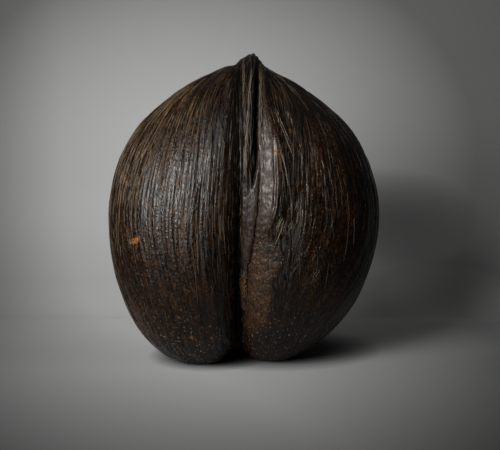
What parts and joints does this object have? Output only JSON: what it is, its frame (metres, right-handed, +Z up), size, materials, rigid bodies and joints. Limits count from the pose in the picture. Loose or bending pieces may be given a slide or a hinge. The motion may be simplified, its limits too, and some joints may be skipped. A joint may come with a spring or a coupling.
{
  "type": "coco de mer nut",
  "caption": "Two-lobed palm seed with a keeled front, a deep cleft and fibre ribs, standing on the ends of its lobes.",
  "frame": {"origin": "on the surface that the nut stands on, under the middle of its bounding box", "axes": "+Z up through the pointed tip; -Y is the front, the side of the keel, and +X is to the right seen from the front; the depth along Y is the shortest extent"},
  "size_m": [0.261, 0.1842, 0.2982],
  "materials": {
    "shell": "dark brown woody shell, satin on the lobes and dull in the cleft"
  },
  "bodies": {
    "root": {"nut": "shell"}
  },
  "joints": []
}
